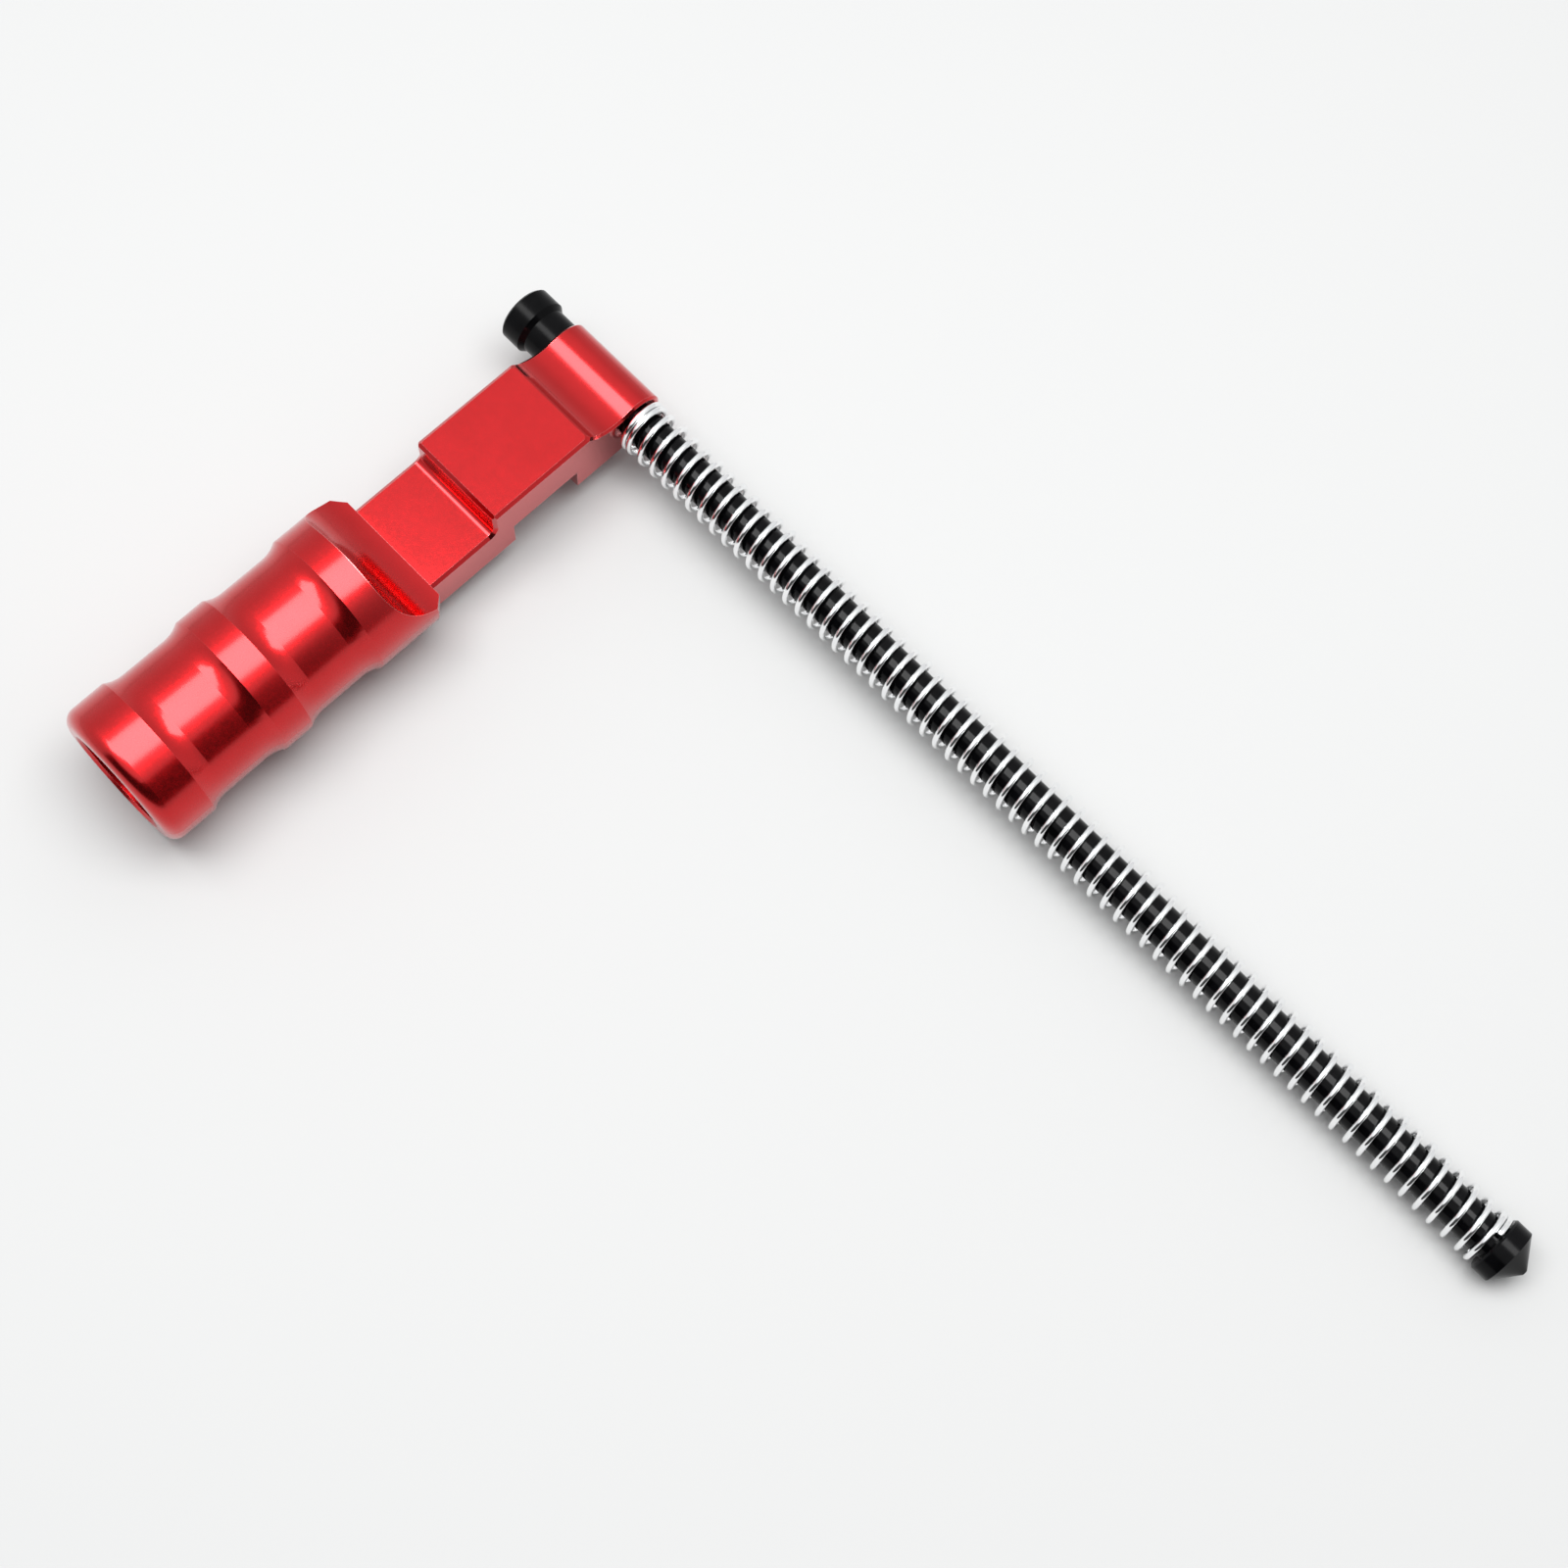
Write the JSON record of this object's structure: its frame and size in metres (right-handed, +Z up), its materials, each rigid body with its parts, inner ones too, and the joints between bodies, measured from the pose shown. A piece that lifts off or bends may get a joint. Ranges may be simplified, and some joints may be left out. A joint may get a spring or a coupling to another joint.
{
  "type": "rifle charging handle assembly",
  "caption": "Anodised aluminium side charging handle for a small rifle, with a steel guide rod through its hub, a recoil spring and a conical tip.",
  "frame": {"origin": "centre of the rod head's outer flat face, on the rod's axis", "axes": "+X along the rod towards the conical tip, the grip reaches towards -Y, +Z up out of the raised block's top face"},
  "size_m": [0.1351, 0.0653, 0.0159],
  "materials": {
    "anodised_aluminium": "glossy red anodised",
    "polished_black_steel": "glossy black oxide",
    "satin_black_steel": "satin black oxide",
    "spring_steel": "bright plated wire"
  },
  "bodies": {
    "handle_body": {"handle": "anodised_aluminium"},
    "spring_body": {"spring": "spring_steel"},
    "rod_body": {"guide_rod": "polished_black_steel", "rod_head": "satin_black_steel", "tip_cap": "satin_black_steel"}
  },
  "joints": [
    {"name": "rod_slide", "type": "slide", "parent": "handle_body", "child": "spring_body", "axis": [-1, 0, 0], "range_m": [0, 0.06], "stiffness_N_per_m": 160, "springref_m": -0.065, "deforming": ["spring"]},
    {"name": "rod_spin", "type": "hinge", "parent": "spring_body", "child": "rod_body", "pos_m": [0, 0, 0], "axis": [1, 0, 0], "continuous": true}
  ]
}
